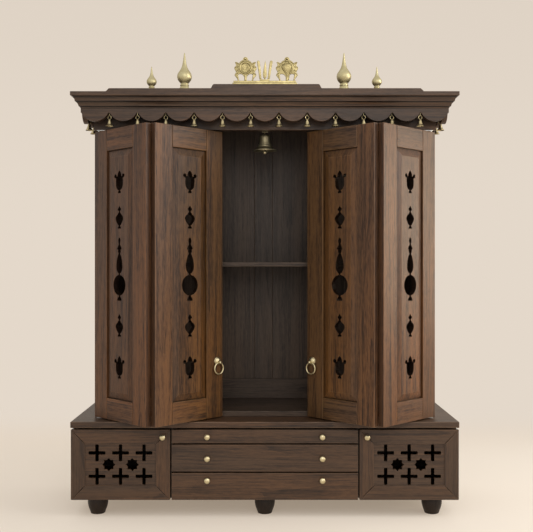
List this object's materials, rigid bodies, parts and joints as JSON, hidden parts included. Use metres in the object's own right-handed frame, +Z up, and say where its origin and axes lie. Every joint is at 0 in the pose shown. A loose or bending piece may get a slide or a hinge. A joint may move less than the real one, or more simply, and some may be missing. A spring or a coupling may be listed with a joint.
{
  "type": "pooja mandir cabinet",
  "caption": "Dark wood household shrine cabinet: drawers and pierced doors below, folding pierced leaves half open above, scalloped canopy with brass bells and pot finials.",
  "frame": {"origin": "on the floor, at the middle of the whole width and of the whole depth with the leaves as they stand in the picture", "axes": "+Z up, +X to the viewer's right, the front faces -Y"},
  "size_m": [1.374, 0.571, 1.644],
  "materials": {
    "walnut": "dark stained, satin varnish",
    "walnut_leaf": "dark stained, satin varnish, vertical grain",
    "walnut_inner": "dark stained, satin varnish",
    "brass": "satin polished",
    "bell_brass": "antique, darkened",
    "steel": "plain"
  },
  "bodies": {
    "cabinet": {"bun_feet": "walnut", "base_bottom": "walnut", "base_sides": "walnut", "base_partitions": "walnut", "base_back": "walnut_inner", "drawer_runners": "walnut_inner", "counter_top": "walnut", "door_pivots": "steel", "upper_sides": "walnut", "upper_floor": "walnut_inner", "back_panel": "walnut_inner", "back_rail": "walnut_inner", "inner_shelf": "walnut_inner", "header_rail": "walnut", "leaf_frame_left_outer": "walnut_leaf", "leaf_frame_left_inner": "walnut_leaf", "leaf_frame_right_inner": "walnut_leaf", "leaf_frame_right_outer": "walnut_leaf", "leaf_panel_left_outer": "walnut_leaf", "leaf_panel_left_inner": "walnut_leaf", "leaf_panel_right_inner": "walnut_leaf", "leaf_panel_right_outer": "walnut_leaf", "leaf_hardware": "steel", "pull_rosettes": "brass", "canopy_cornice": "walnut", "canopy_ceiling": "walnut", "canopy_top": "walnut", "canopy_crest": "walnut", "valance_front": "walnut", "valance_sides": "walnut", "valance_bells": "brass", "finials": "brass", "emblem_plate": "brass", "disc_emblem": "brass", "prong_emblem": "brass", "conch_emblem": "brass", "bell_hook": "bell_brass"},
    "door_left": {"base_door_left_frame": "walnut", "base_door_left_panel": "walnut", "base_door_left_knob": "brass"},
    "door_right": {"base_door_right_frame": "walnut", "base_door_right_panel": "walnut", "base_door_right_knob": "brass"},
    "drawer_bottom": {"drawer_bottom_front": "walnut", "drawer_bottom_box": "walnut_inner", "drawer_bottom_knobs": "brass"},
    "drawer_middle": {"drawer_middle_front": "walnut", "drawer_middle_box": "walnut_inner", "drawer_middle_knobs": "brass"},
    "drawer_top": {"drawer_top_front": "walnut", "drawer_top_box": "walnut_inner", "drawer_top_knobs": "brass"},
    "ring_left": {"pull_ring_left": "brass"},
    "ring_right": {"pull_ring_right": "brass"},
    "bell": {"temple_bell": "bell_brass"},
    "clapper": {"bell_clapper": "bell_brass"}
  },
  "joints": [
    {"name": "door_left_hinge", "type": "hinge", "parent": "cabinet", "child": "door_left", "pos_m": [-0.68, -0.13953, 0.188], "axis": [0, 0, -1], "range_deg": [0, 105]},
    {"name": "door_right_hinge", "type": "hinge", "parent": "cabinet", "child": "door_right", "pos_m": [0.68, -0.13953, 0.188], "axis": [0, 0, 1], "range_deg": [0, 105]},
    {"name": "drawer_bottom_slide", "type": "slide", "parent": "cabinet", "child": "drawer_bottom", "axis": [0, -1, 0], "range_m": [0, 0.28]},
    {"name": "drawer_middle_slide", "type": "slide", "parent": "cabinet", "child": "drawer_middle", "axis": [0, -1, 0], "range_m": [0, 0.28]},
    {"name": "drawer_top_slide", "type": "slide", "parent": "cabinet", "child": "drawer_top", "axis": [0, -1, 0], "range_m": [0, 0.28]},
    {"name": "ring_left_hinge", "type": "hinge", "parent": "cabinet", "child": "ring_left", "pos_m": [-0.16518, -0.09208, 0.542], "axis": [-0.7071, -0.7071, 0], "range_deg": [-3, 75]},
    {"name": "ring_right_hinge", "type": "hinge", "parent": "cabinet", "child": "ring_right", "pos_m": [0.16518, -0.09208, 0.542], "axis": [-0.7071, 0.7071, 0], "range_deg": [-3, 75]},
    {"name": "bell_swing", "type": "hinge", "parent": "cabinet", "child": "bell", "pos_m": [0, 0.02547, 1.391], "axis": [1, 0, 0], "range_deg": [-25, 25]},
    {"name": "clapper_swing", "type": "hinge", "parent": "bell", "child": "clapper", "pos_m": [0, 0.02547, 1.3713], "axis": [1, 0, 0], "range_deg": [-25, 25]}
  ]
}
